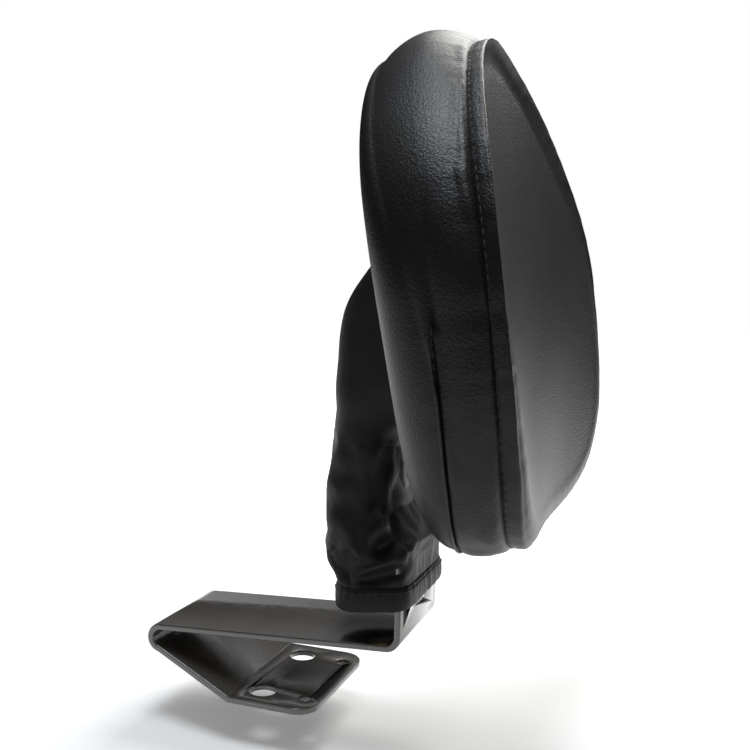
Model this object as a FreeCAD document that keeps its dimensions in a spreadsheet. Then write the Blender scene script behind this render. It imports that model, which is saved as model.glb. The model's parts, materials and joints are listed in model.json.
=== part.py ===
import FreeCAD, Part
import math
import os
import re
import Sketcher
from FreeCAD import Placement, Rotation, Vector

# A headrest that bolts to a chair back: a folded steel strap, a two-pivot friction neck inside a
# soft boot, and a padded cushion that wraps gently around the head.
#
# Frame: origin at the centre of the pair of bolt holes, on the underside of the flange.
# +X points forward (towards the head), +Y to the left, +Z up.  Millimetres and degrees.
#
# The cushion and the upper hinge are drawn in the cushion's own frame: x along the cushion's
# depth (0 at the front seam, at mid-width), y across it and z up it.

os.makedirs("parts", exist_ok=True)
doc = FreeCAD.newDocument("headrest")

# ---------------------------------------------------------------------------------------------
# Driving dimensions
# ---------------------------------------------------------------------------------------------

DIMENSIONS = [
    # folded strap
    ("strap_thickness", 2.5),
    ("strap_inner_bend", 3.5),
    ("flange_width", 61.0),
    ("flange_length", 35.7),
    ("flange_corner", 9.0),
    ("bolt_setback", 10.5),
    ("bolt_hole", 11.0),
    ("hole_spacing", 39.0),
    ("screw_row", 18.5),
    ("screw_hole", 5.2),
    ("leg_length", 38.5),
    ("leg_angle", 19.0),
    ("plate_width", 46.5),
    ("plate_length", 100.8),
    ("plate_angle", 3.6),
    ("tab_height", 36.5),
    # lower hinge
    ("lower_setback", 16.5),
    ("lower_height", 29.0),
    ("clevis_thickness", 2.5),
    ("clevis_drop", 22.0),
    ("eye_radius", 9.5),
    ("rivet_diameter", 5.0),
    ("rivet_head", 9.0),
    ("rivet_head_height", 1.8),
    ("rivet_gap", 0.45),
    ("rivet_spacing_z", 17.0),
    ("rivet_drop", 16.0),
    # arm
    ("arm_length", 87.0),
    ("arm_width", 18.0),
    ("arm_plate", 3.0),
    ("arm_waist", 14.0),
    ("spacer_diameter", 8.0),
    ("spacer_tenon", 5.0),
    ("spacer_spacing", 30.0),
    ("sleeve_diameter", 12.0),
    # pivots
    ("pivot_diameter", 8.0),
    ("running_gap", 0.05),
    ("hexagon_flats", 13.0),
    ("head_height", 5.3),
    ("nut_height", 5.5),
    ("bolt_tip", 1.0),
    ("washer_diameter", 18.0),
    ("washer_thickness", 1.5),
    ("spring_diameter", 17.0),
    ("spring_thickness", 0.9),
    ("spring_height", 1.3),
    # cushion
    ("pad_width", 189.0),
    ("pad_rise", 91.0),
    ("pad_drop", 89.0),
    ("pad_top_roundness", 2.0),
    ("pad_bottom_roundness", 3.0),
    ("pad_wrap_radius", 300.0),
    ("pad_depth", 35.5),
    ("pad_bulge", 6.3),
    ("pad_front_edge", 6.5),
    ("pad_back_edge", 15.0),
    ("gusset_depth", 17.5),
    ("cover_thickness", 1.2),
    ("pad_lean", 7.5),
    ("pad_face_lean", 2.6),
    ("pad_pivot_depth", 51.2),
    ("pad_pivot_drop", 11.0),
    # cushion board and its hinge plate
    ("board_inset", 13.0),
    ("board_thickness", 8.0),
    ("board_depth", 18.0),
    ("boss_width", 46.0),
    ("boss_height", 62.0),
    ("boss_step", 1.2),
    ("hinge_plate_thickness", 2.5),
    ("hinge_plate_width", 40.0),
    ("hinge_plate_height", 58.0),
    ("screw_diameter", 6.0),
    ("screw_head", 10.5),
    ("screw_head_height", 3.0),
    ("screw_spacing_y", 30.0),
    ("screw_spacing_z", 46.0),
    ("tee_flange", 15.0),
    ("tee_flange_thickness", 1.2),
    ("tee_barrel", 8.0),
    ("window_width", 57.0),
    ("window_height", 72.0),
    # boot
    ("boot_thickness", 1.5),
    ("boot_side_gap", 2.6),
    ("boot_front_gap", 3.4),
    ("boot_end_gap", 1.0),
    ("hem_height", 9.0),
    ("hem_gap", 9.5),
    ("hem_rise", 5.0),
]

sheet = doc.addObject("Spreadsheet::Sheet", "Dims")
for row, (alias, number) in enumerate(DIMENSIONS, start=1):
    sheet.set("A%d" % row, alias)
    sheet.set("B%d" % row, str(number))
    sheet.setAlias("B%d" % row, alias)
doc.recompute()

ALIAS = re.compile(r"\b(" + "|".join(alias for alias, number in DIMENSIONS) + r")\b")


def formula(text):
    """A formula in the sheet's aliases, written as an expression that any object can use."""
    return ALIAS.sub(r"Dims.\1", text)


def value(text):
    """The number that a formula gives."""
    return float(sheet.evalExpression(formula(text)))


def bind(item, prop, text):
    item.setExpression(prop, formula(text))


# ---------------------------------------------------------------------------------------------
# Places worked out from the driving dimensions
# ---------------------------------------------------------------------------------------------

SIN_LEG, COS_LEG = "sin(leg_angle * 1deg)", "cos(leg_angle * 1deg)"
SIN_PLATE, COS_PLATE = "sin(plate_angle * 1deg)", "cos(plate_angle * 1deg)"
OUTER_BEND = "(strap_inner_bend + strap_thickness)"

# the strap's outer surface: crease, end of the leg, hairpin axis, rear of the top plate, tab foot
CREASE_X = "(-bolt_setback)"
LEG_END = (f"({CREASE_X} - leg_length * {COS_LEG})", f"(leg_length * {SIN_LEG})")
HAIRPIN = (f"({LEG_END[0]} + {OUTER_BEND} * {SIN_LEG})", f"({LEG_END[1]} + {OUTER_BEND} * {COS_LEG})")
PLATE_REAR = (f"({HAIRPIN[0]} - {OUTER_BEND} * {SIN_PLATE})", f"({HAIRPIN[1]} + {OUTER_BEND} * {COS_PLATE})")
TAB_X = f"({PLATE_REAR[0]} + plate_length * {COS_PLATE})"
TAB_Z = f"({PLATE_REAR[1]} + plate_length * {SIN_PLATE})"

LOWER_PIVOT = (f"({TAB_X} - lower_setback)", f"({TAB_Z} + lower_height)")
UPPER_PIVOT = (LOWER_PIVOT[0], f"({LOWER_PIVOT[1]} + arm_length)")
PAD_PIVOT = ("(-pad_pivot_depth)", "(-pad_pivot_drop)")

SIN_LEAN, COS_LEAN = "sin(pad_lean * 1deg)", "cos(pad_lean * 1deg)"
PAD_X = f"({UPPER_PIVOT[0]} + pad_pivot_depth * {COS_LEAN} - pad_pivot_drop * {SIN_LEAN})"
PAD_Z = f"({UPPER_PIVOT[1]} + pad_pivot_depth * {SIN_LEAN} + pad_pivot_drop * {COS_LEAN})"

EAR_INSIDE = "(arm_width / 2 + washer_thickness + running_gap)"
EAR_OUTSIDE = f"({EAR_INSIDE} + clevis_thickness)"
PIVOT_BORE = "(pivot_diameter / 2 + running_gap)"
BOARD_BACK = "(board_depth + board_thickness)"
BOSS_BACK = f"({BOARD_BACK} + boss_step)"
HINGE_PLATE_BACK = f"({BOSS_BACK} + hinge_plate_thickness)"

# ---------------------------------------------------------------------------------------------
# Building blocks
# ---------------------------------------------------------------------------------------------

TURNS = {
    "X": Rotation(Vector(0, 1, 0), 90),
    "Y": Rotation(Vector(1, 0, 0), -90),
    "Z": Rotation(),
}


def set_place(item, x, y, z, along):
    item.Placement = Placement(Vector(), TURNS[along])
    for axis, text in zip("xyz", (x, y, z)):
        bind(item, "Placement.Base." + axis, text)


def block(name, x, y, z):
    """A box between two formulas along each axis."""
    item = doc.addObject("Part::Box", name)
    for side, (low, high) in zip(("Length", "Width", "Height"), (x, y, z)):
        bind(item, side, f"({high}) - ({low})")
    set_place(item, x[0], y[0], z[0], "Z")
    return item


def cylinder(name, radius, start, length, along):
    item = doc.addObject("Part::Cylinder", name)
    bind(item, "Radius", radius)
    bind(item, "Height", length)
    set_place(item, *start, along)
    return item


def hexagon(name, flats, start, length):
    """A hexagonal prism along Y."""
    item = doc.addObject("Part::Prism", name)
    item.Polygon = 6
    bind(item, "Circumradius", f"{flats} / sqrt(3)")
    bind(item, "Height", length)
    set_place(item, *start, "Y")
    return item


def fuse(name, *pieces):
    item = doc.addObject("Part::MultiFuse", name)
    item.Shapes = list(pieces)
    return item


def cut(name, base, *tools):
    item = doc.addObject("Part::Cut", name)
    item.Base = base
    item.Tool = tools[0] if len(tools) == 1 else fuse(name + "_tools", *tools)
    return item


def together(name, *solids):
    """Separate solids in one node."""
    item = doc.addObject("Part::Compound", name)
    item.Links = list(solids)
    return item


def from_shape(name, shape):
    item = doc.addObject("Part::Feature", name)
    item.Shape = shape
    return item


def lean_with_pad(item):
    """Moves a piece from the cushion's own frame to where the cushion stands."""
    item.Placement = Placement(Vector(), Rotation(Vector(0, 1, 0), -1))
    bind(item, "Placement.Base.x", PAD_X)
    bind(item, "Placement.Base.z", PAD_Z)
    bind(item, "Placement.Rotation.Angle", "-pad_lean")
    return item


def origin_plane(body, role):
    return next(item for item in body.Origin.OriginFeatures if item.Role == role)


def new_sketch(body, name, plane):
    sketch = body.newObject("Sketcher::SketchObject", name)
    sketch.AttachmentSupport = [(origin_plane(body, plane), "")]
    sketch.MapMode = "FlatFace"
    return sketch


def bind_point(sketch, edge, end, corner):
    """Holds one end of an edge, or the centre of a circle, at a corner given as two formulas."""
    for kind, text in zip(("DistanceX", "DistanceY"), corner):
        number = sketch.addConstraint(Sketcher.Constraint(kind, -1, 1, edge, end, value(text)))
        bind(sketch, "Constraints[%d]" % number, text)


def outline(sketch, corners, bends=None):
    """A closed outline through corners; bends maps an edge number to (radius, bulge centre)."""
    bends = bends or {}
    points = [Vector(value(x), value(y), 0) for x, y in corners]
    for edge, start in enumerate(points):
        stop = points[(edge + 1) % len(points)]
        if edge in bends:
            centre = Vector(*[value(text) for text in bends[edge]], 0)
            reach = (start - centre).Length
            middle = centre + ((start + stop) * 0.5 - centre).normalize() * reach
            sketch.addGeometry(Part.Arc(start, middle, stop))
        else:
            sketch.addGeometry(Part.LineSegment(start, stop))
    for edge, start in enumerate(points):
        previous = (edge - 1) % len(points)
        here = nearest_end(sketch, edge, start)
        sketch.addConstraint(
            Sketcher.Constraint("Coincident", previous, nearest_end(sketch, previous, start), edge, here)
        )
        bind_point(sketch, edge, here, corners[edge])
    for edge, centre in bends.items():
        x_only = Sketcher.Constraint("DistanceX", -1, 1, edge, 3, value(centre[0]))
        number = sketch.addConstraint(x_only)
        bind(sketch, "Constraints[%d]" % number, centre[0])
    return sketch


def nearest_end(sketch, edge, point):
    return min((1, 2), key=lambda end: (sketch.getPoint(edge, end) - point).Length)


def circles(sketch, radius, centres):
    for edge, centre in enumerate(centres):
        start = Vector(value(centre[0]), value(centre[1]), 0)
        sketch.addGeometry(Part.Circle(start, Vector(0, 0, 1), value(radius)))
        bind_point(sketch, edge, 3, centre)
        number = sketch.addConstraint(Sketcher.Constraint("Radius", edge, value(radius)))
        bind(sketch, "Constraints[%d]" % number, radius)
    return sketch


def pad_sketch(body, name, sketch, length):
    feature = body.newObject("PartDesign::Pad", name)
    feature.Profile = sketch
    feature.SideType = "Symmetric"
    bind(feature, "Length", length)
    doc.recompute()
    return feature


def pocket_through(body, name, sketch, reach):
    """Cuts a sketch both ways from its plane and makes sure that it did."""
    before = body.Shape.Volume
    feature = body.newObject("PartDesign::Pocket", name)
    feature.Profile = sketch
    feature.SideType = "Symmetric"
    bind(feature, "Length", reach)
    doc.recompute()
    if body.Shape.Volume >= before:
        raise RuntimeError(name + " cuts nothing")
    return feature


def round_edges(body, name, radius, wanted):
    """Fillets the edges of a body's tip whose middle passes the test."""
    edges = [
        "Edge%d" % (number + 1)
        for number, edge in enumerate(body.Shape.Edges)
        if wanted(edge)
    ]
    tip = body.Tip
    feature = body.newObject("PartDesign::Fillet", name)
    feature.Base = (tip, edges)
    bind(feature, "Radius", radius)
    doc.recompute()
    return feature


def edge_at(x, z):
    """A test for a straight edge along Y through a place in the XZ plane."""
    place = Vector(value(x), 0, value(z))

    def wanted(edge):
        middle = edge.CenterOfMass
        along_y = abs(edge.BoundBox.YLength - edge.Length) < 1e-4
        return along_y and math.hypot(middle.x - place.x, middle.z - place.z) < 0.05

    return wanted


# ---------------------------------------------------------------------------------------------
# Folded steel strap
# ---------------------------------------------------------------------------------------------


def mounting_bracket():
    body = doc.addObject("PartDesign::Body", "mounting_bracket")
    flange_front = "(flange_length - bolt_setback)"
    leg_inner_end = (
        f"({HAIRPIN[0]} - strap_inner_bend * {SIN_LEG})",
        f"({HAIRPIN[1]} - strap_inner_bend * {COS_LEG})",
    )
    crease_inside = f"({CREASE_X} + strap_thickness * tan(leg_angle * 1deg / 2))"
    lower = outline(
        new_sketch(body, "flange_and_leg_profile", "XZ_Plane"),
        [
            (flange_front, "0"),
            (CREASE_X, "0"),
            LEG_END,
            leg_inner_end,
            (crease_inside, "strap_thickness"),
            (flange_front, "strap_thickness"),
        ],
    )
    pad_sketch(body, "flange_and_leg", lower, "flange_width")

    # the leg flares from the top plate's width to the flange's
    for side, sign in (("left", ""), ("right", "-")):
        beyond = f"{sign}(flange_width / 2 + 1)"
        behind = f"({LEG_END[0]} - 1)"
        flare = outline(
            new_sketch(body, side + "_flare_outline", "XY_Plane"),
            [
                (behind, f"{sign}plate_width / 2"),
                (leg_inner_end[0], f"{sign}plate_width / 2"),
                (CREASE_X, f"{sign}flange_width / 2"),
                (CREASE_X, beyond),
                (behind, beyond),
            ],
        )
        pocket_through(body, side + "_flare", flare, "flange_width")
    for name, radius, row in (("bolt", "bolt_hole / 2", "0"), ("screw", "screw_hole / 2", "screw_row")):
        pair = [(row, "hole_spacing / 2"), (row, "-hole_spacing / 2")]
        holes = circles(new_sketch(body, name + "_hole_circles", "XY_Plane"), radius, pair)
        pocket_through(body, name + "_holes", holes, "strap_thickness * 3")
    front_x = value(flange_front)
    round_edges(
        body,
        "flange_corners",
        "flange_corner",
        lambda edge: edge.BoundBox.ZLength > 1 and edge.BoundBox.XMin > front_x - 0.01,
    )
    round_edges(body, "crease_outside", OUTER_BEND, edge_at(CREASE_X, "0"))
    round_edges(body, "crease_inside", "strap_inner_bend", edge_at(crease_inside, "strap_thickness"))

    # hairpin, top plate and tab
    tab_foot = (f"({TAB_X} + strap_thickness)", f"({TAB_Z} - strap_thickness * (1 - {SIN_PLATE}) / {COS_PLATE})")
    tab_top = f"({TAB_Z} + tab_height)"
    plate_inner_rear = (
        f"({HAIRPIN[0]} - strap_inner_bend * {SIN_PLATE})",
        f"({HAIRPIN[1]} + strap_inner_bend * {COS_PLATE})",
    )
    upper = outline(
        new_sketch(body, "hairpin_plate_tab_profile", "XZ_Plane"),
        [
            LEG_END,
            PLATE_REAR,
            (TAB_X, TAB_Z),
            (TAB_X, tab_top),
            (tab_foot[0], tab_top),
            tab_foot,
            plate_inner_rear,
            leg_inner_end,
        ],
        bends={0: HAIRPIN, 6: HAIRPIN},
    )
    pad_sketch(body, "hairpin_plate_tab", upper, "plate_width")
    round_edges(body, "tab_bend_inside", "strap_inner_bend", edge_at(TAB_X, TAB_Z))
    round_edges(body, "tab_bend_outside", OUTER_BEND, edge_at(*tab_foot))
    rivets = circles(new_sketch(body, "rivet_circles", "YZ_Plane"), "rivet_diameter / 2", rivet_places())
    pocket_through(body, "rivet_holes", rivets, f"({TAB_X} + strap_thickness) * 3")
    return body


def rivet_places():
    """The four rivets, as (y, z), with their heads between the ears."""
    low = f"({LOWER_PIVOT[1]} - rivet_drop)"
    return [
        (f"{sign}({EAR_INSIDE} - rivet_head / 2 - rivet_gap)", height)
        for sign in ("", "-")
        for height in (low, f"({low} + rivet_spacing_z)")
    ]


# ---------------------------------------------------------------------------------------------
# Hinges
# ---------------------------------------------------------------------------------------------


def clevis(name, back, front, low, high, half_width, pivot, holes, hole_radius):
    """A plate across X with two ears that reach back to a pivot along Y."""
    base = block(name + "_base", (back, front), (f"-({half_width})", half_width), (low, high))
    pieces = [base]
    for side, near in (("left", EAR_INSIDE), ("right", f"-{EAR_OUTSIDE}")):
        far = f"({near} + clevis_thickness)"
        pieces.append(
            block(
                f"{name}_{side}_ear",
                (pivot[0], front),
                (near, far),
                (f"{pivot[1]} - eye_radius", f"{pivot[1]} + eye_radius"),
            )
        )
        pieces.append(
            cylinder(f"{name}_{side}_eye", "eye_radius", (pivot[0], near, pivot[1]), "clevis_thickness", "Y")
        )
    tools = [
        cylinder(name + "_bore", PIVOT_BORE, (pivot[0], f"-{EAR_OUTSIDE}", pivot[1]), f"2 * {EAR_OUTSIDE}", "Y")
    ]
    for number, (y, z) in enumerate(holes, start=1):
        start = (f"{back} - 1", y, z)
        tools.append(cylinder(f"{name}_hole_{number}", hole_radius, start, f"{front} - ({back}) + 2", "X"))
    return cut(name, fuse(name + "_blank", *pieces), *tools)


def lower_clevis():
    return clevis(
        "lower_clevis",
        back=f"({TAB_X} - clevis_thickness)",
        front=TAB_X,
        low=f"({LOWER_PIVOT[1]} - clevis_drop)",
        high=f"({TAB_Z} + tab_height)",
        half_width=EAR_OUTSIDE,
        pivot=LOWER_PIVOT,
        holes=rivet_places(),
        hole_radius="rivet_diameter / 2",
    )


def clevis_rivets():
    rivets = []
    back = f"({TAB_X} - clevis_thickness)"
    for number, (y, z) in enumerate(rivet_places(), start=1):
        shank_length = f"{TAB_X} + strap_thickness - ({back})"
        shank = cylinder(f"rivet_shank_{number}", "rivet_diameter / 2", (back, y, z), shank_length, "X")
        head_start = (f"{back} - rivet_head_height", y, z)
        head = cylinder(f"rivet_head_{number}", "rivet_head / 2", head_start, "rivet_head_height", "X")
        rivets.append(fuse(f"rivet_{number}", shank, head))
    return together("clevis_rivets", *rivets)


def screw_places():
    """The four hinge plate screws, as (y, z) in the cushion's frame."""
    return [
        (f"{across}screw_spacing_y / 2", f"({PAD_PIVOT[1]} {up} screw_spacing_z / 2)")
        for across in ("", "-")
        for up in ("+", "-")
    ]


def pad_hinge_plate():
    plate = clevis(
        "pad_hinge_plate",
        back=f"-{HINGE_PLATE_BACK}",
        front=f"-{BOSS_BACK}",
        low=f"({PAD_PIVOT[1]} - hinge_plate_height / 2)",
        high=f"({PAD_PIVOT[1]} + hinge_plate_height / 2)",
        half_width="hinge_plate_width / 2",
        pivot=PAD_PIVOT,
        holes=screw_places(),
        hole_radius="screw_diameter / 2",
    )
    return lean_with_pad(plate)


def pivot_bolt(name, pivot):
    head_start = (pivot[0], f"-{EAR_OUTSIDE} - head_height", pivot[1])
    head = hexagon(name + "_head", "hexagon_flats", head_start, "head_height")
    shank_length = f"2 * {EAR_OUTSIDE} + spring_height + nut_height + bolt_tip"
    shank_start = (pivot[0], f"-{EAR_OUTSIDE}", pivot[1])
    shank = cylinder(name + "_shank", "pivot_diameter / 2", shank_start, shank_length, "Y")
    return fuse(name, head, shank)


def pivot_nut(name, pivot):
    start = (pivot[0], f"{EAR_OUTSIDE} + spring_height", pivot[1])
    nut = hexagon(name + "_blank", "hexagon_flats", start, "nut_height")
    thread = cylinder(name + "_thread", "pivot_diameter / 2", start, "nut_height", "Y")
    return cut(name, nut, thread)


def spring_washer(name, pivot):
    """A dished washer, turned about its own Z axis and then laid along Y."""
    body = doc.addObject("PartDesign::Body", name)
    inner = PIVOT_BORE
    outer = "(spring_diameter / 2)"
    profile = outline(
        new_sketch(body, name + "_profile", "XZ_Plane"),
        [
            (outer, "0"),
            (outer, "spring_thickness"),
            (inner, "spring_height"),
            (inner, "(spring_height - spring_thickness)"),
        ],
    )
    feature = body.newObject("PartDesign::Revolution", name + "_turned")
    feature.Profile = profile
    feature.ReferenceAxis = (profile, ["V_Axis"])
    feature.Angle = 360
    set_place(body, pivot[0], EAR_OUTSIDE, pivot[1], "Y")
    return body


def friction_washers(name, pivot):
    rings = []
    for side, start_y in (("left", f"(arm_width / 2 + running_gap)"), ("right", f"-{EAR_INSIDE}")):
        start = (pivot[0], start_y, pivot[1])
        disc = cylinder(f"{name}_{side}_disc", "washer_diameter / 2", start, "washer_thickness", "Y")
        bore = cylinder(f"{name}_{side}_bore", PIVOT_BORE, start, "washer_thickness", "Y")
        rings.append(cut(f"{name}_{side}", disc, bore))
    return together(name, *rings)


def pivot_sleeve(name, pivot):
    start = (pivot[0], "-arm_width / 2", pivot[1])
    tube = cylinder(name + "_tube", "sleeve_diameter / 2", start, "arm_width", "Y")
    bore = cylinder(name + "_bore", PIVOT_BORE, start, "arm_width", "Y")
    return cut(name, tube, bore)


# ---------------------------------------------------------------------------------------------
# Arm
# ---------------------------------------------------------------------------------------------


def spacer_heights():
    middle = f"({LOWER_PIVOT[1]} + arm_length / 2)"
    return [f"({middle} {sign} spacer_spacing / 2)" for sign in ("-", "+")]


def arm_side_plate(name, inside):
    """A stamped plate with an eye at each pivot; inside is its lower Y face."""
    waist = block(
        name + "_waist",
        (f"{LOWER_PIVOT[0]} - arm_waist / 2", f"{LOWER_PIVOT[0]} + arm_waist / 2"),
        (inside, f"{inside} + arm_plate"),
        (LOWER_PIVOT[1], UPPER_PIVOT[1]),
    )
    pieces = [waist]
    tools = []
    for end, pivot in (("lower", LOWER_PIVOT), ("upper", UPPER_PIVOT)):
        start = (pivot[0], inside, pivot[1])
        pieces.append(cylinder(f"{name}_{end}_eye", "eye_radius", start, "arm_plate", "Y"))
        tools.append(cylinder(f"{name}_{end}_hole", "sleeve_diameter / 2", start, "arm_plate", "Y"))
    for number, height in enumerate(spacer_heights(), start=1):
        start = (LOWER_PIVOT[0], inside, height)
        tools.append(cylinder(f"{name}_spacer_hole_{number}", "spacer_tenon / 2", start, "arm_plate", "Y"))
    return cut(name, fuse(name + "_blank", *pieces), *tools)


def arm_spacers():
    spacers = []
    for number, height in enumerate(spacer_heights(), start=1):
        body_start = (LOWER_PIVOT[0], "(arm_plate - arm_width / 2)", height)
        barrel_length = "arm_width - 2 * arm_plate"
        barrel = cylinder(f"spacer_barrel_{number}", "spacer_diameter / 2", body_start, barrel_length, "Y")
        tenon_start = (LOWER_PIVOT[0], "-arm_width / 2", height)
        tenon = cylinder(f"spacer_tenon_{number}", "spacer_tenon / 2", tenon_start, "arm_width", "Y")
        spacers.append(fuse(f"spacer_{number}", barrel, tenon))
    return together("arm_spacers", *spacers)


# ---------------------------------------------------------------------------------------------
# Cushion
# ---------------------------------------------------------------------------------------------

OUTLINE_POINTS = 64
WINDOW_POWER = 3.5


def rounded_loop(half_width, up, down, up_power, down_power, points=OUTLINE_POINTS):
    """Points (across, up) round a loop whose halves are superellipses of their own power."""
    loop = []
    for number in range(points):
        turn = 2 * math.pi * number / points
        across, rise = math.cos(turn), math.sin(turn)
        height, power = (up, up_power) if rise >= 0 else (down, down_power)
        size = (abs(across / half_width) ** power + abs(rise / height) ** power) ** (-1 / power)
        loop.append((across * size, rise * size))
    return loop


def smooth_wire(points):
    curve = Part.BSplineCurve()
    curve.interpolate(Points=points, PeriodicFlag=True)
    return Part.Wire(curve.toShape())


def prism(loop, x_from, x_to):
    """A prism along X over a loop of (y, z)."""
    wire = smooth_wire([Vector(x_from, y, z) for y, z in loop])
    return Part.Face(wire).extrude(Vector(x_to - x_from, 0, 0))


def cushion_prism(inset):
    loop = rounded_loop(
        value("pad_width / 2") - inset,
        value("pad_rise") - inset,
        value("pad_drop") - inset,
        value("pad_top_roundness"),
        value("pad_bottom_roundness"),
    )
    reach = value("pad_depth + pad_width / 4")
    return prism(loop, -reach, reach)


WRAP_REACH = 1.2


def wrap_axis(lean):
    """A point on the axis that the cushion wraps around, and the axis' direction."""
    turn = math.radians(lean)
    return Vector(value("pad_wrap_radius"), 0, 0), Vector(-math.sin(turn), 0, math.cos(turn))


def wrap_cylinder(depth, lean=0):
    """Everything in front of a wrapped surface that lies this far behind the front seam."""
    middle, upwards = wrap_axis(lean)
    start = middle - upwards * (value("pad_drop") * WRAP_REACH)
    height = value("pad_rise + pad_drop") * WRAP_REACH
    return Part.makeCylinder(value("pad_wrap_radius") + depth, height, start, upwards)


def cushion_solid(inset):
    """The cushion's outer form, moved inwards by inset; both faces lean back at the top."""
    depth = value("pad_depth") - inset
    bulge = value("pad_bulge") - inset
    lean = value("pad_face_lean")
    slab = wrap_cylinder(depth, lean).cut(wrap_cylinder(-bulge, lean))
    solid = cushion_prism(inset).common(slab)
    back_radius = value("pad_back_edge") - inset
    front_radius = value("pad_front_edge") - inset
    wrap = value("pad_wrap_radius")
    for reach, radius in ((wrap + depth, back_radius), (wrap - bulge, front_radius)):
        rim = [edge for edge in solid.Edges if lies_on_wrap(edge, lean, reach)]
        solid = solid.makeFillet(radius, rim)
    return solid


def lies_on_wrap(edge, lean, reach):
    """Whether an edge runs round the cushion on the wrapped surface of that radius."""
    middle, upwards = wrap_axis(lean)
    first, last = edge.ParameterRange
    for share in (0.1, 0.37, 0.5, 0.83):
        point = edge.valueAt(first + share * (last - first))
        if abs((point - middle).cross(upwards).Length - reach) > 0.01:
            return False
    return True


def window_prism():
    half_width = value("window_width") / 2
    half_height = value("window_height") / 2
    loop = rounded_loop(half_width, half_height, half_height, WINDOW_POWER, WINDOW_POWER)
    shifted = [(y, z - value("pad_pivot_drop")) for y, z in loop]
    return prism(shifted, -value("pad_depth") * 2, -value(BOARD_BACK))


def boss_block():
    width = value("boss_width")
    height = value("boss_height")
    back = value(BOSS_BACK)
    front = value("board_depth") + value("board_thickness") / 2
    corner = Vector(-back, -width / 2, -value("pad_pivot_drop") - height / 2)
    return Part.makeBox(back - front, width, height, corner)


def pad_cylinders(radius, x_from, x_to):
    """One cylinder along X at each hinge plate screw."""
    shapes = []
    for y, z in screw_places():
        start = Vector(x_from, value(y), value(z))
        shapes.append(Part.makeCylinder(radius, x_to - x_from, start, Vector(1, 0, 0)))
    return shapes


def board_blank():
    """The cushion board and its boss, before it is drilled."""
    slab = wrap_cylinder(value(BOARD_BACK)).cut(wrap_cylinder(value("board_depth")))
    return cushion_prism(value("board_inset")).common(slab).fuse(boss_block())


def drilled(board):
    front = -value("board_depth")
    holes = pad_cylinders(value("tee_barrel / 2"), -value(BOSS_BACK), front)
    seats = pad_cylinders(value("tee_flange / 2"), front, 0)
    return board.cut(holes + seats).removeSplitter()


def cushion_pieces():
    """Board, foam and cover, all in the cushion's frame."""
    outer = cushion_solid(0)
    inner = cushion_solid(value("cover_thickness"))
    skin = outer.cut(inner)
    front_space = wrap_cylinder(0)
    side_space = wrap_cylinder(value("gusset_depth"))
    board = board_blank()
    window = window_prism()
    front_foam = inner.common(wrap_cylinder(value("board_depth")))
    tee_recess = pad_cylinders(
        value("tee_flange / 2"), -value("board_depth"), -value("board_depth - tee_flange_thickness")
    )
    back_foam = inner.cut(wrap_cylinder(value("board_depth"))).cut([board, window])
    return {
        "cushion_board": drilled(board),
        "front_foam": front_foam.cut(tee_recess),
        "back_foam": back_foam,
        "front_cover": skin.common(front_space),
        "side_gusset": skin.common(side_space).cut(front_space),
        "back_cover": skin.cut(side_space).cut(window),
    }


def hinge_screws():
    screws = []
    for number, (y, z) in enumerate(screw_places(), start=1):
        head_start = (f"-{HINGE_PLATE_BACK} - screw_head_height", y, z)
        head = cylinder(f"screw_head_{number}", "screw_head / 2", head_start, "screw_head_height", "X")
        length = f"{HINGE_PLATE_BACK} - board_depth"
        shank_start = (f"-{HINGE_PLATE_BACK}", y, z)
        shank = cylinder(f"screw_shank_{number}", "screw_diameter / 2", shank_start, length, "X")
        screws.append(fuse(f"screw_{number}", head, shank))
    return lean_with_pad(together("hinge_screws", *screws))


def tee_nuts():
    nuts = []
    for number, (y, z) in enumerate(screw_places(), start=1):
        flange_start = ("-board_depth", y, z)
        flange = cylinder(f"tee_flange_{number}", "tee_flange / 2", flange_start, "tee_flange_thickness", "X")
        barrel_length = f"{BOARD_BACK} - board_depth"
        barrel_start = (f"-{BOARD_BACK}", y, z)
        barrel = cylinder(f"tee_barrel_{number}", "tee_barrel / 2", barrel_start, barrel_length, "X")
        thread_length = "board_thickness + tee_flange_thickness"
        thread = cylinder(f"tee_thread_{number}", "screw_diameter / 2", barrel_start, thread_length, "X")
        nuts.append(cut(f"tee_nut_{number}", fuse(f"tee_blank_{number}", flange, barrel), thread))
    return lean_with_pad(together("tee_nuts", *nuts))


# ---------------------------------------------------------------------------------------------
# Boot
# ---------------------------------------------------------------------------------------------

# The lower half's sections upwards from the hinge: height above the lower pivot, how far behind
# the hinge's eye and ahead of the tab, how much narrower than the hem, and the superellipse
# powers of the front and the rear half.
LOWER_BOOT = [
    (6.0, 5.5, 0.3, -0.4, 10.0, 2.4),
    (14.0, 7.5, -2.0, 0.0, 5.0, 2.4),
    (27.0, 7.5, -7.0, 1.0, 3.2, 2.4),
    (43.5, 6.5, -11.0, 1.6, 2.8, 2.4),
]
HEM_FORM = (2.1, 0.0, -0.3, 10.0, 2.4)
UPPER_SECTIONS = 9


def boot_wire(rear, front, half_width, front_power, rear_power, inset):
    """A closed section between a rear and a front point of the XZ plane."""
    middle = (rear + front) * 0.5
    ahead = (front - rear).normalize()
    length = (front - rear).Length / 2 - inset
    loop = rounded_loop(half_width - inset, length, length, front_power, rear_power)
    return smooth_wire([middle + Vector(0, y, 0) + ahead * along for y, along in loop])


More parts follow.
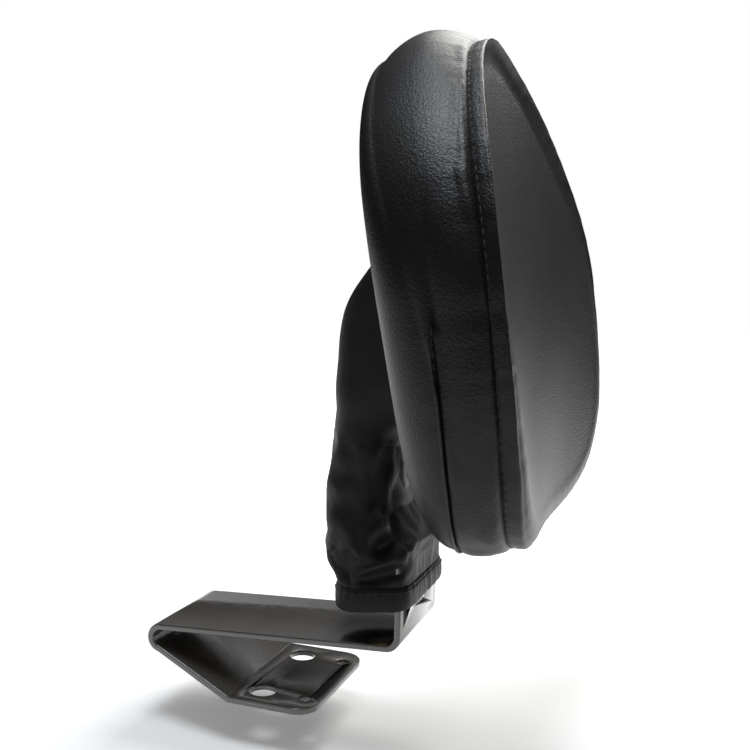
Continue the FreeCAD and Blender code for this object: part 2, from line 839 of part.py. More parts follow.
def boot_tube(sections):
    """A tube of the boot's cloth through sections of (rear, front, half width, powers)."""
    outside = [boot_wire(*section, 0) for section in sections]
    inside = [boot_wire(*section, value("boot_thickness")) for section in sections]
    faces = [
        Part.makeLoft([first, second], False, True).Faces[0]
        for wires in (outside, inside)
        for first, second in zip(wires, wires[1:])
    ]
    for end in (0, -1):
        faces.append(Part.makeFace([outside[end], inside[end]], "Part::FaceMakerBullseye"))
    shell = Part.makeShell(faces)
    shell.sewShape()
    solid = Part.makeSolid(Part.Shell(shell.Faces))
    if solid.Volume < 0:
        solid.reverse()
    return solid


def boot_side():
    return value("plate_width / 2 + boot_side_gap")


def level_section(row, rise=0):
    """A section of the lower half, from one row of LOWER_BOOT."""
    height, behind, ahead, narrower, front_power, rear_power = row
    rear_x = value(LOWER_PIVOT[0]) - value("eye_radius") - value("boot_thickness") - behind
    front_x = value(TAB_X) + value("strap_thickness") + value("boot_front_gap") + ahead
    return (
        Vector(rear_x, 0, height),
        Vector(front_x, 0, height + rise),
        boot_side() - narrower,
        front_power,
        rear_power,
    )


def lower_boot_sections():
    return [level_section((value(LOWER_PIVOT[1]) + row[0], *row[1:])) for row in LOWER_BOOT]


def hem_sections():
    low = value(TAB_Z) + value("hem_gap")
    return [
        level_section((height, *HEM_FORM), value("hem_rise"))
        for height in (low, low + value("hem_height"))
    ]


def boot_lower_shape():
    return boot_tube([hem_sections()[-1], *lower_boot_sections()])


def from_pad(x, z):
    """A point of the cushion's XZ plane, in the object's frame."""
    lean = math.radians(value("pad_lean"))
    return Vector(
        value(PAD_X) + x * math.cos(lean) - z * math.sin(lean),
        0,
        value(PAD_Z) + x * math.sin(lean) + z * math.cos(lean),
    )


def guide(start, leaving, arriving, end):
    """Evenly spaced points along a curve that leaves and arrives in the given directions."""
    curve = Part.BezierCurve()
    curve.setPoles([start, start + leaving, end + arriving, end])
    return [curve.value(number / (UPPER_SECTIONS - 1)) for number in range(UPPER_SECTIONS)]


def boot_upper_shape():
    """The upper half bends from the arm into the window at the back of the cushion."""
    rear, front, start_width, start_front_power, start_rear_power = lower_boot_sections()[-1]
    back = -value("pad_depth") + value("boot_thickness")
    half_height = value("window_height") / 2 - value("boot_end_gap")
    drop = -value("pad_pivot_drop")
    end_high = from_pad(back, drop + half_height)
    end_low = from_pad(back, drop - half_height)
    out_of_pad = from_pad(-1, 0) - from_pad(0, 0)
    crown = value("arm_length") * 0.3
    tuck = value("boot_thickness") * 3
    rear_guide = guide(rear, Vector(0, 0, crown), out_of_pad * crown, end_high)
    front_guide = guide(front, Vector(0, 0, tuck), out_of_pad * tuck, end_low)
    end_width = value("window_width") / 2 - value("boot_end_gap")
    end_power = WINDOW_POWER
    sections = []
    for number in range(UPPER_SECTIONS):
        share = number / (UPPER_SECTIONS - 1)
        sections.append(
            (
                rear_guide[number],
                front_guide[number],
                start_width + share * (end_width - start_width),
                start_front_power + share * (end_power - start_front_power),
                start_rear_power + share * (end_power - start_rear_power),
            )
        )
    return boot_tube(sections)


# ---------------------------------------------------------------------------------------------
# The sub-parts
# ---------------------------------------------------------------------------------------------

subparts = [mounting_bracket(), lower_clevis(), clevis_rivets()]
for hinge, pivot, finish in (
    ("lower", LOWER_PIVOT, lambda item: item),
    ("upper", PAD_PIVOT, lean_with_pad),
):
    for maker, piece in (
        (pivot_bolt, "pivot_bolt"),
        (pivot_nut, "pivot_nut"),
        (friction_washers, "friction_washers"),
    ):
        subparts.append(finish(maker(f"{hinge}_{piece}", pivot)))
subparts += [
    spring_washer("lower_spring_washer", LOWER_PIVOT),
    spring_washer("upper_spring_washer", UPPER_PIVOT),
    arm_side_plate("arm_plate_left", "(arm_width / 2 - arm_plate)"),
    arm_side_plate("arm_plate_right", "(-arm_width / 2)"),
    arm_spacers(),
    pivot_sleeve("lower_pivot_sleeve", LOWER_PIVOT),
    pivot_sleeve("upper_pivot_sleeve", UPPER_PIVOT),
    pad_hinge_plate(),
    hinge_screws(),
    tee_nuts(),
]
for piece, shape in cushion_pieces().items():
    subparts.append(lean_with_pad(from_shape(piece, shape)))
subparts += [
    from_shape("boot_hem", boot_tube(hem_sections())),
    from_shape("boot_lower", boot_lower_shape()),
    from_shape("boot_upper", boot_upper_shape()),
]
doc.recompute()

# ---------------------------------------------------------------------------------------------
# Check and export
# ---------------------------------------------------------------------------------------------

for item in doc.Objects:
    if "Invalid" in item.State or "Error" in item.State:
        raise RuntimeError(item.Label + " did not recompute")
for item in subparts:
    if item.Shape.isNull() or not item.Shape.isValid():
        raise RuntimeError(item.Label + " has no valid shape")
    item.Shape.exportStep("parts/%s.step" % item.Label)
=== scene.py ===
import json
import math

import bpy
import numpy as np
from mathutils import Matrix, Vector


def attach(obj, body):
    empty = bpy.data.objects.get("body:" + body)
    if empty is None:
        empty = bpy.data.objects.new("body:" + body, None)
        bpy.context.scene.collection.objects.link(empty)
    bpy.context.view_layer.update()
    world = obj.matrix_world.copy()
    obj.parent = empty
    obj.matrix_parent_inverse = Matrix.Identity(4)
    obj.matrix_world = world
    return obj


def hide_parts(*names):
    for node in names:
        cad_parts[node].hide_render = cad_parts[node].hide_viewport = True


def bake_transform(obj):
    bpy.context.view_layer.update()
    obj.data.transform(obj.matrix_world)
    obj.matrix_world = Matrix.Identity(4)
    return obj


# Looks of the headrest: upholstered cushion, gathered boot, enamelled strap and hinge steel.
# Everything is in metres in the row frame.  The cushion is drawn in its own coordinates:
# w forward from the front seam, u to the left and v up, and then leaned back with the CAD part.

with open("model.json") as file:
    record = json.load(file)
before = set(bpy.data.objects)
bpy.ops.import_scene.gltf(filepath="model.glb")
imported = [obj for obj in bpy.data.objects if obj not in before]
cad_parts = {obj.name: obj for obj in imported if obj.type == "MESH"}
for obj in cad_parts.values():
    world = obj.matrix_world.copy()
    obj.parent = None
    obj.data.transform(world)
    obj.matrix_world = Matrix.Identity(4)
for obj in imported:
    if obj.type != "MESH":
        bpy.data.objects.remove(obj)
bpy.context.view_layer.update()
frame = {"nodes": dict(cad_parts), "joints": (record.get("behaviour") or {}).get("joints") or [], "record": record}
nodes = frame["nodes"]
joints = {joint["name"]: Vector(joint["pos_m"]) for joint in frame["joints"]}
UPPER = joints["upper_pivot"]

LEAN = math.radians(7.5)
PIVOT_DEPTH, PIVOT_DROP = 0.0512, 0.0110
WRAP_RADIUS = 0.300
RISE, DROP = 0.0910, 0.0900
HALF_WIDTH = 0.0938
TOP_POWER, BOTTOM_POWER = 1.75, 3.0
PAD_DEPTH = 0.0355
GUSSET_DEPTH = 0.0175
WELT_DEPTH = 0.0046
FACE_DEPTH = 0.0075
FACE_LEAN = 0.046
BACK_ROUNDING_TOP, BACK_ROUNDING_LOW = 0.0060, 0.0170
BACK_SLOPE = 0.0012
CROWN, TOP_CROWN = 0.0034, 0.0034
WINDOW_HALF = (0.0275, 0.0350)
WINDOW_POWER = 3.5
COLUMNS = 288
FOAM_MIDDLE, FOAM_THINNING, FOAM_NARROWING = -0.014, 0.86, 0.965


# ---------------------------------------------------------------------------------------------
# Small helpers
# ---------------------------------------------------------------------------------------------


def smooth(low, high, x):
    t = np.clip((x - low) / (high - low), 0, 1)
    return t * t * (3 - 2 * t)


def ripple(seed, *coordinates):
    """Smooth irregular values from about -1 to 1: a few sine waves with seeded directions."""
    rng = np.random.default_rng(seed)
    total = 0
    for _ in range(7):
        direction = rng.normal(size=len(coordinates))
        phase = rng.uniform(0, 2 * math.pi)
        wave = sum(d * c for d, c in zip(direction, coordinates))
        total = total + np.sin(wave + phase)
    return total / 3.2


def loop_radius(angle, half_width, up, down, up_power, down_power):
    """Distance from the middle to a loop whose halves are superellipses."""
    across, rise = np.cos(angle), np.sin(angle)
    height = np.where(rise >= 0, up, down)
    power = np.where(rise >= 0, up_power, down_power)
    return (np.abs(across / half_width) ** power + np.abs(rise / height) ** power) ** (-1 / power)


def grid_mesh(name, grid, close_columns=True, cap_last=False, cap_first=False):
    """A mesh from an array of rows x columns x 3."""
    rows, columns, _ = grid.shape
    faces = []
    for r in range(rows - 1):
        for c in range(columns if close_columns else columns - 1):
            d = (c + 1) % columns
            faces.append((r * columns + c, r * columns + d, (r + 1) * columns + d, (r + 1) * columns + c))
    for capped, base in ((cap_first, 0), (cap_last, (rows - 1) * columns)):
        if capped:
            ladder = [
                (base + c, base + c + 1, base + columns - 2 - c, base + columns - 1 - c)
                for c in range(columns // 2 - 1)
            ]
            faces += ladder if base else [face[::-1] for face in ladder]
    mesh = bpy.data.meshes.new(name)
    mesh.from_pydata(grid.reshape(-1, 3).tolist(), [], faces)
    mesh.validate()
    mesh.shade_smooth()
    piece = bpy.data.objects.new(name, mesh)
    bpy.context.scene.collection.objects.link(piece)
    return piece


def grid_normals(grid):
    """Unit outward normals of a grid that closes on itself along its columns."""
    along = np.gradient(grid, axis=0)
    around = np.roll(grid, -1, axis=1) - np.roll(grid, 1, axis=1)
    normal = np.cross(around, along)
    normal = normal / np.maximum(np.linalg.norm(normal, axis=2, keepdims=True), 1e-12)
    outwards = grid - grid.mean(axis=(0, 1))
    return normal if np.sum(normal * outwards) > 0 else -normal


def subdivide(piece, levels=1):
    modifier = piece.modifiers.new("smooth", "SUBSURF")
    modifier.levels = levels
    modifier.render_levels = levels
    modifier.boundary_smooth = "PRESERVE_CORNERS"
    return piece


def evened(field, rounds):
    """Averages a field of vectors with its neighbours, a few times over."""
    for _ in range(rounds):
        field = (field + np.roll(field, 1, 1) + np.roll(field, -1, 1)) / 3
        inner = (field[:-2] + field[1:-1] + field[2:]) / 3
        field = np.concatenate([field[:1], inner, field[-1:]])
    return field


def held(pinned):
    """How near a point is to a firmly held row: one on it and nothing four rows away."""
    firm = np.pad((pinned > 0.5).astype(float), ((3, 3), (0, 0)))
    rows = len(pinned)
    near = [firm[3 + step : 3 + step + rows] * (1 - abs(step) / 4) for step in range(-3, 4)]
    return np.max(near, axis=0)[:, :, None]


def cloth_settle(name, grid, pinned, pressure, shrink, cap, frames, rounds, centre=0, scale=10.0):
    """Runs a cloth simulation on a grid and returns the settled grid, no point moved over cap.

    The first rows up to centre are too small to settle by themselves, so they move as one.
    """
    piece = grid_mesh(name, grid * scale)
    group = piece.vertex_groups.new(name="pins")
    flat = pinned.reshape(-1)
    for index in np.nonzero(flat > 0)[0]:
        group.add([int(index)], float(flat[index]), "REPLACE")
    cloth = piece.modifiers.new("cloth", "CLOTH")
    settings = cloth.settings
    settings.quality = 6
    settings.mass = 0.3
    settings.tension_stiffness = 25
    settings.compression_stiffness = 25
    settings.shear_stiffness = 12
    settings.bending_stiffness = 0.8
    settings.use_pressure = pressure != 0
    settings.uniform_pressure_force = pressure
    settings.shrink_min = shrink
    settings.shrink_max = shrink
    settings.vertex_group_mass = "pins"
    settings.effector_weights.gravity = 0
    cloth.collision_settings.use_collision = False
    cloth.point_cache.frame_start = 1
    cloth.point_cache.frame_end = frames
    scene = bpy.context.scene
    for number in range(1, frames + 1):
        scene.frame_set(number)
    evaluated = piece.evaluated_get(bpy.context.evaluated_depsgraph_get())
    flat = np.zeros(len(evaluated.data.vertices) * 3)
    evaluated.data.vertices.foreach_get("co", flat)
    moved = flat.reshape(grid.shape) / scale - grid
    scene.frame_set(1)
    bpy.data.objects.remove(piece)
    moved[:centre] = moved[centre].mean(axis=0)
    moved = evened(moved, rounds) * (1 - held(pinned))
    length = np.linalg.norm(moved, axis=2, keepdims=True)
    return grid + moved * np.minimum(1, cap / np.maximum(length, 1e-9))


# ---------------------------------------------------------------------------------------------
# Materials
# ---------------------------------------------------------------------------------------------


class Recipe:
    """A node material put together step by step."""

    def __init__(self, name):
        self.material = bpy.data.materials.new(name)
        self.material.use_nodes = True
        self.tree = self.material.node_tree
        self.shader = self.tree.nodes["Principled BSDF"]
        self.place = self.node("ShaderNodeTexCoord").outputs["Object"]
        self.height = None
        self.relief = None

    def node(self, kind, **settings):
        made = self.tree.nodes.new(kind)
        for key, setting in settings.items():
            setattr(made, key, setting)
        return made

    def link(self, source, target):
        self.tree.links.new(source, target)

    def stretched(self, scale):
        mapping = self.node("ShaderNodeMapping")
        mapping.inputs["Scale"].default_value = scale
        self.link(self.place, mapping.inputs["Vector"])
        return mapping.outputs["Vector"]

    def noise(self, scale, detail=3.0, rough=0.5, where=None):
        made = self.node("ShaderNodeTexNoise")
        made.inputs["Scale"].default_value = scale
        made.inputs["Detail"].default_value = detail
        made.inputs["Roughness"].default_value = rough
        self.link(where or self.place, made.inputs["Vector"])
        return made.outputs["Fac"]

    def cells(self, scale, feature="F1", where=None):
        made = self.node("ShaderNodeTexVoronoi", feature=feature)
        made.inputs["Scale"].default_value = scale
        self.link(where or self.place, made.inputs["Vector"])
        return made.outputs["Distance"]

    def waves(self, scale, direction="X", distortion=0.0, where=None):
        made = self.node("ShaderNodeTexWave", bands_direction=direction)
        made.inputs["Scale"].default_value = scale
        made.inputs["Distortion"].default_value = distortion
        self.link(where or self.place, made.inputs["Vector"])
        return made.outputs["Fac"]

    def span(self, source, low, high, from_low=0.0, from_high=1.0):
        made = self.node("ShaderNodeMapRange")
        made.inputs["From Min"].default_value = from_low
        made.inputs["From Max"].default_value = from_high
        made.inputs["To Min"].default_value = low
        made.inputs["To Max"].default_value = high
        self.link(source, made.inputs["Value"])
        return made.outputs["Result"]

    def blend(self, factor, first, second):
        made = self.node("ShaderNodeMix", data_type="RGBA")
        for socket, colour in ((made.inputs[6], first), (made.inputs[7], second)):
            if isinstance(colour, (tuple, list)):
                socket.default_value = (*colour, 1)
            else:
                self.link(colour, socket)
        self.link(factor, made.inputs[0])
        return made.outputs[2]

    def maths(self, operation, first, second):
        made = self.node("ShaderNodeMath", operation=operation)
        for socket, number in ((made.inputs[0], first), (made.inputs[1], second)):
            if isinstance(number, (int, float)):
                socket.default_value = number
            else:
                self.link(number, socket)
        return made.outputs[0]

    def bump(self, source, height):
        """Adds a height in metres to the one bump node of the material."""
        layer = self.maths("MULTIPLY", source, height)
        if self.height is None:
            made = self.node("ShaderNodeBump")
            made.inputs["Distance"].default_value = 1.0
            self.relief = made.inputs["Height"]
            self.link(made.outputs["Normal"], self.shader.inputs["Normal"])
            self.height = layer
        else:
            self.height = self.maths("ADD", self.height, layer)
        self.link(self.height, self.relief)

    def edges(self):
        """Bright where the mesh is worn at its convex edges."""
        made = self.node("ShaderNodeNewGeometry")
        return self.span(made.outputs["Pointiness"], 0, 1, 0.52, 0.62)

    def colour(self, source):
        self.link(source, self.shader.inputs["Base Color"])

    def rough(self, source):
        self.link(source, self.shader.inputs["Roughness"])

    def constants(self, **numbers):
        for key, number in numbers.items():
            self.shader.inputs[key.replace("_", " ")].default_value = number
        return self


def vinyl(name, dark, light, rough_low, rough_high, specular):
    """Upholstery vinyl: fine pebbled grain, creases with painted shade darkening their lines, slight dust and
    uneven sheen.
    """
    recipe = Recipe(name)
    pebble = recipe.cells(1150)
    crease_and_painted_shade = recipe.cells(420, "DISTANCE_TO_EDGE")
    fine = recipe.noise(5200, 2.0)
    cloudy = recipe.noise(34, 4.0)
    broad = recipe.noise(9, 2.0)
    # painted shade: the colour darkens along the crease lines, as if shade fell into them
    recipe.colour(
        recipe.blend(
            recipe.span(cloudy, 0, 1, 0.35, 0.7),
            recipe.blend(recipe.span(crease_and_painted_shade, 1, 0, 0, 0.12), dark, tuple(c * 0.55 for c in dark)),
            light,
        )
    )
    mixed = recipe.maths("ADD", recipe.maths("MULTIPLY", broad, 0.6), recipe.maths("MULTIPLY", fine, 0.4))
    recipe.rough(recipe.span(mixed, rough_low, rough_high, 0.3, 0.7))
    recipe.bump(broad, 0.00045)
    recipe.bump(pebble, 0.000088)
    recipe.bump(recipe.span(crease_and_painted_shade, 0, 1, 0, 0.08), 0.00003)
    recipe.bump(fine, 0.000015)
    recipe.constants(Specular_IOR_Level=specular)
    return recipe


def make_materials():
    made = {}
    cover = vinyl("cover_vinyl", (0.0060, 0.0060, 0.0068), (0.0095, 0.0092, 0.0090), 0.36, 0.48, 0.32)
    made["vinyl"] = cover.material

    boot = Recipe("boot_cloth")
    knit = boot.waves(900, "Z", 1.5)
    rib = boot.waves(1100, "X", 1.5)
    fuzz = boot.noise(2600, 3.0)
    worn = boot.noise(60, 3.0)
    faded = boot.span(worn, 0, 1, 0.3, 0.7)
    boot.colour(boot.blend(faded, (0.0022, 0.0022, 0.0025), (0.0045, 0.0045, 0.0048)))
    boot.rough(boot.span(fuzz, 0.42, 0.60, 0.3, 0.7))
    boot.bump(boot.noise(220, 2.0), 0.00016)
    boot.bump(boot.maths("MULTIPLY", knit, rib), 0.000054)
    boot.bump(fuzz, 0.00003)
    boot.constants(Specular_IOR_Level=0.28)
    made["boot"] = boot.material

    thread = Recipe("thread")
    twist = thread.waves(900, "DIAGONAL", 0.4)
    thread.colour(thread.blend(twist, (0.006, 0.006, 0.007), (0.022, 0.022, 0.023)))
    thread.rough(thread.span(twist, 0.38, 0.62))
    thread.bump(twist, 0.00012)
    made["thread"] = thread.material

    enamel = Recipe("strap_enamel")
    orange = enamel.noise(900, 2.0)
    cloud = enamel.noise(26, 3.0)
    scuff = enamel.noise(240, 4.0, 0.65, enamel.stretched((0.35, 2.2, 1.0)))
    dust = enamel.span(scuff, 0, 0.5, 0.60, 0.74)
    body = enamel.blend(enamel.span(cloud, 0, 1, 0.3, 0.7), (0.034, 0.030, 0.026), (0.050, 0.045, 0.039))
    body = enamel.blend(dust, body, (0.12, 0.105, 0.085))
    enamel.colour(enamel.blend(enamel.edges(), body, (0.22, 0.20, 0.18)))
    enamel.rough(enamel.span(cloud, 0.20, 0.34, 0.3, 0.7))
    enamel.bump(orange, 0.00002)
    enamel.bump(scuff, 0.000012)
    enamel.constants(Metallic=0.25, Specular_IOR_Level=0.6)
    enamel.constants(Coat_Weight=1.0, Coat_Roughness=0.14, Coat_IOR=1.7)
    made["strap_paint"] = enamel.material

    for slot, tint, rough, metal in (
        ("bright_steel", (0.52, 0.52, 0.53), 0.28, 1.0),
        ("zinc_steel", (0.60, 0.60, 0.58), 0.30, 1.0),
        ("spring_steel", (0.22, 0.21, 0.20), 0.34, 1.0),
        ("sleeve_brass", (0.62, 0.45, 0.20), 0.30, 1.0),
    ):
        steel = Recipe(slot)
        grain = steel.noise(700, 3.0, 0.6, steel.stretched((0.2, 3.0, 0.2)))
        blotch = steel.noise(120, 4.0)
        dull = tuple(c * 0.62 for c in tint)
        worn_body = steel.blend(steel.span(blotch, 0, 1, 0.35, 0.75), tint, dull)
        steel.colour(steel.blend(steel.edges(), worn_body, tuple(min(1, c * 1.25) for c in tint)))
        steel.rough(steel.span(grain, rough - 0.08, rough + 0.14, 0.25, 0.75))
        steel.bump(grain, 0.00001)
        steel.constants(Metallic=metal)
        made[slot] = steel.material

    paint = Recipe("arm_paint")
    speckle = paint.noise(1500, 2.0)
    rub = paint.noise(180, 4.0)
    body = paint.blend(paint.span(rub, 0, 1, 0.4, 0.75), (0.018, 0.018, 0.019), (0.032, 0.032, 0.033))
    paint.colour(paint.blend(paint.edges(), body, (0.16, 0.16, 0.16)))
    paint.rough(paint.span(speckle, 0.34, 0.50, 0.3, 0.7))
    paint.bump(speckle, 0.00003)
    made["arm_steel"] = paint.material

    disc = Recipe("friction_disc")
    mottled = disc.noise(1400, 3.0)
    disc.colour(disc.blend(mottled, (0.60, 0.58, 0.52), (0.78, 0.77, 0.72)))
    disc.rough(disc.span(mottled, 0.45, 0.62))
    disc.bump(mottled, 0.000015)
    made["friction_disc"] = disc.material

    plywood = Recipe("plywood")
    rings = plywood.waves(42, "Y", 6.0, plywood.stretched((1.0, 1.0, 0.12)))
    pores = plywood.noise(1800, 3.0, 0.6, plywood.stretched((1.0, 1.0, 0.06)))
    figure = plywood.blend(rings, (0.50, 0.34, 0.19), (0.66, 0.49, 0.31))
    plywood.colour(plywood.blend(plywood.span(pores, 0, 0.5, 0.55, 0.75), figure, (0.30, 0.19, 0.10)))
    plywood.rough(plywood.span(pores, 0.55, 0.75))
    plywood.bump(pores, 0.00006)
    made["plywood"] = plywood.material

    foam = Recipe("foam")
    bubbles = foam.cells(900, "F1")
    shade = foam.noise(40, 2.0)
    foam.colour(foam.blend(shade, (0.62, 0.58, 0.47), (0.74, 0.71, 0.60)))
    foam.rough(foam.span(bubbles, 0.75, 0.95))
    foam.bump(bubbles, 0.00048)
    made["foam"] = foam.material
    return made


materials = make_materials()
materials["boot_cloth"] = materials["boot"]


def dress(piece, material):
    piece.data.materials.clear()
    piece.data.materials.append(material)


for entry in frame["record"]["subparts"]:
    dress(nodes[entry["node"]], materials[entry["material_slot"]])


def ease_edges(piece, width, angle=35):
    """Sheet metal and turned parts get small rounded edges and smooth curved faces."""
    weld = piece.modifiers.new("weld", "WELD")
    weld.merge_threshold = 0.00001
    bevel = piece.modifiers.new("bevel", "BEVEL")
    bevel.width = width
    bevel.segments = 2
    bevel.limit_method = "ANGLE"
    bevel.angle_limit = math.radians(angle)
    bevel.harden_normals = True
    piece.data.shade_smooth()


for name, width in (
    ("mounting_bracket", 0.0003),
    ("lower_clevis", 0.0003),
    ("pad_hinge_plate", 0.0003),
    ("arm_plate_left", 0.0003),
    ("arm_plate_right", 0.0003),
    ("clevis_rivets", 0.0004),
    ("lower_pivot_bolt", 0.0003),
    ("upper_pivot_bolt", 0.0003),
    ("lower_pivot_nut", 0.0003),
    ("upper_pivot_nut", 0.0003),
    ("hinge_screws", 0.0004),
):
    ease_edges(nodes[name], width)


# ---------------------------------------------------------------------------------------------
# Cushion
# ---------------------------------------------------------------------------------------------

PAD_ORIGIN = UPPER + Vector(
    (
        PIVOT_DEPTH * math.cos(LEAN) - PIVOT_DROP * math.sin(LEAN),
        0,
        PIVOT_DEPTH * math.sin(LEAN) + PIVOT_DROP * math.cos(LEAN),
    )
)


def pad_to_row(w, u, v):
    """Cushion coordinates to the row frame, with the wrap round the head."""
    wrapped = w + u * u / (2 * WRAP_RADIUS)
    return np.stack(
        [
            PAD_ORIGIN.x + wrapped * math.cos(LEAN) - v * math.sin(LEAN),
            u + 0 * v,
            PAD_ORIGIN.z + wrapped * math.sin(LEAN) + v * math.cos(LEAN),
        ],
        axis=-1,
    )


ANGLES = np.linspace(0, 2 * math.pi, COLUMNS, endpoint=False)
EDGE = loop_radius(ANGLES, HALF_WIDTH, RISE, DROP, TOP_POWER, BOTTOM_POWER)


def ring(inset, depth):
    """One ring of the cushion: inset from its outline (array or number), depth w forward."""
    reach = EDGE - inset
    u = reach * np.cos(ANGLES)
    v = reach * np.sin(ANGLES)
    return u, v, depth + 0 * u


def face_front(v):
    return FACE_DEPTH - FACE_LEAN * v


def face_back(v):
    return -PAD_DEPTH - FACE_LEAN * v + BACK_SLOPE * smooth(0.035, 0.080, v)


def back_rounding(v):
    """The back edge is fairly sharp at the top of the cushion and full at its bottom."""
    return BACK_ROUNDING_TOP + (BACK_ROUNDING_LOW - BACK_ROUNDING_TOP) * smooth(0.060, -0.060, v)


def cushion_grid():
    """Rings of (u, v, w) from the middle of the front face to the window at the back."""
    rings = []
    kinds = []
    v_edge = EDGE * np.sin(ANGLES)
    for share in np.linspace(0.03, 1, 26):
        inset = EDGE * (1 - share) + 0.0125 * share
        reach = EDGE - inset
        v = reach * np.sin(ANGLES)
        crown = 0.0022 * (1 - share**2)
        rings.append(ring(inset, face_front(v) + crown - 0.0004 * share))
        kinds.append("front")
    # the front's rounding down to the welt
    for turn in np.linspace(0.15, 1, 8):
        bend = turn * math.pi / 2
        inset = 0.0012 + 0.0113 * (1 - math.sin(bend))
        top = face_front(v_edge) - 0.0004
        rings.append(ring(inset, WELT_DEPTH + (top - WELT_DEPTH) * math.cos(bend) ** 0.9))
        kinds.append("front")
    for share in (0.25, 0.5, 0.75, 1.0):
        rings.append(ring(0.0012 - 0.0008 * share, WELT_DEPTH * (1 - share)))
        kinds.append("welt")
    flat = face_back(v_edge)
    inward = back_rounding(v_edge) * 1.25
    rounding = np.minimum(back_rounding(v_edge), -flat - GUSSET_DEPTH - 0.0015)
    side_depth = -flat - rounding
    upper = smooth(-0.020, 0.040, v_edge)

    def arch(depth):
        """One crown from the front seam to the back edge, near the top of the cushion."""
        height = CROWN * upper + TOP_CROWN * smooth(0.060, 0.088, v_edge)
        return height * np.sin(math.pi * np.clip(depth / side_depth, 0, 1)) ** 0.8

    for share in np.linspace(0, 1, 16)[1:]:
        crown = 0.0024 * (1 - upper) * math.sin(math.pi * share) ** 0.8
        rings.append(ring(0.0004 - crown - arch(GUSSET_DEPTH * share), -GUSSET_DEPTH * share))
        kinds.append("gusset")
    for share in np.linspace(0, 1, 8)[1:]:
        depth = GUSSET_DEPTH * (1 - share) + side_depth * share
        crown = 0.0008 * (1 - upper) * math.sin(math.pi * share)
        rings.append(ring(0.0004 - crown - arch(depth), -depth))
        kinds.append("back")
    for turn in np.linspace(0, 1, 12)[1:]:
        bend = turn * math.pi / 2
        inset = 0.0004 + inward * (1 - math.cos(bend))
        rings.append(ring(inset, flat + rounding * (1 - math.sin(bend))))
        kinds.append("back")
    outer_u, outer_v, _ = rings[-1]
    window = loop_radius(ANGLES, WINDOW_HALF[0], WINDOW_HALF[1], WINDOW_HALF[1], WINDOW_POWER, WINDOW_POWER)
    window_u = window * np.cos(ANGLES)
    window_v = window * np.sin(ANGLES) - PIVOT_DROP
    for share in np.linspace(0, 1, 19)[1:]:
        u = outer_u + (window_u - outer_u) * share
        v = outer_v + (window_v - outer_v) * share
        puff = -0.0012 * math.sin(math.pi * share)
        rings.append((u, v, face_back(v) + puff))
        kinds.append("back")
    for share in (0.5, 1.0):
        rings.append((window_u * (1 - 0.02 * share), window_v, face_back(window_v) + 0.006 * share))
        kinds.append("back")
    stack = np.array(rings)
    grid = pad_to_row(stack[:, 2], stack[:, 0], stack[:, 1])
    return grid, kinds, stack


def seam_rows(kinds):
    """Row numbers of the welt ridge, the front seam, the back seam and the window's edge."""
    ridge = kinds.index("welt") - 1
    front = kinds.index("gusset") - 1
    back = kinds.index("back") - 1
    return ridge, front, back, len(kinds) - 3


def build_cushion():
    grid, kinds, stack = cushion_grid()
    ridge, front_seam, back_seam, window_row = seam_rows(kinds)
    v_at = stack[:, 1]
    low_back = smooth(0.012, -0.030, v_at[back_seam])
    pinned = np.zeros(grid.shape[:2])
    for row in (ridge, front_seam):
        pinned[row] = 1
    pinned[back_seam] = low_back
    pinned[window_row:] = 1
    grid = cloth_settle("cushion_sim", grid, pinned, 2.0, -0.010, 0.0012, 14, rounds=4, centre=7)
    normal = grid_normals(grid)

    # how far each row lies from the seams, along the surface
    step = np.linalg.norm(np.diff(grid, axis=0), axis=2)
    run = np.vstack([np.zeros(COLUMNS), np.cumsum(step, axis=0)])
    around = np.cumsum(np.linalg.norm(np.roll(grid[front_seam], -1, 0) - grid[front_seam], axis=1))

    def pull(row, depth, width):
        away = np.abs(run - run[row])
        return -depth * np.exp(-((away / width) ** 2))

    def pucker(row, reach, seed):
        away = np.abs(run - run[row])
        waves = ripple(seed, around[None, :] * 330, away * 40)
        waves = waves + 0.5 * ripple(seed + 1, around[None, :] * 800, away * 30)
        return 0.00022 * waves * np.exp(-away / reach) * smooth(0.0, 0.0012, away)

    relief = pull(front_seam, 0.0011, 0.0011) + pull(back_seam, 0.0008, 0.0012) * low_back
    relief = relief + 0.00045 * np.exp(-(((run - run[ridge]) / 0.0008) ** 2))
    relief = relief + pull(front_seam, 0.0004, 0.0040)
    relief = relief + pucker(front_seam, 0.0060, 3)
    relief = relief + pucker(back_seam, 0.0060, 8) * low_back
    relief = relief + pucker(ridge, 0.0080, 14) * 0.8
    relief = relief + pull(window_row, 0.0012, 0.0050)
    broad = ripple(21, grid[:, :, 0] * 55, grid[:, :, 1] * 38, grid[:, :, 2] * 38) * 0.00035
    grid = grid + normal * (relief + broad)[:, :, None]

    parts = []
    for name, first, last, replaced in (
        ("cushion_front_panel", 0, front_seam, ["front_cover"]),
        ("cushion_side_gusset", front_seam, back_seam, ["side_gusset"]),
        ("cushion_back_panel", back_seam, len(kinds) - 1, ["back_cover"]),
    ):
        piece = grid_mesh(name, grid[first : last + 1], cap_first=first == 0)
        subdivide(piece)
        dress(piece, materials["vinyl"])
        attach(piece, "pad")
        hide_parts(*replaced)
        parts.append(piece)
    return grid, normal, (ridge, front_seam, back_seam, window_row)


def closed_block(name, grid):
    """A ring-shaped or capped body: the rows close on themselves."""
    rows, columns, _ = grid.shape
    faces = []
    for r in range(rows):
        for c in range(columns):
            d, below = (c + 1) % columns, (r + 1) % rows
            faces.append((r * columns + c, below * columns + c, below * columns + d, r * columns + d))
    mesh = bpy.data.meshes.new(name)
    mesh.from_pydata(grid.reshape(-1, 3).tolist(), [], faces)
    mesh.shade_smooth()
    piece = bpy.data.objects.new(name, mesh)
    bpy.context.scene.collection.objects.link(piece)
    return piece


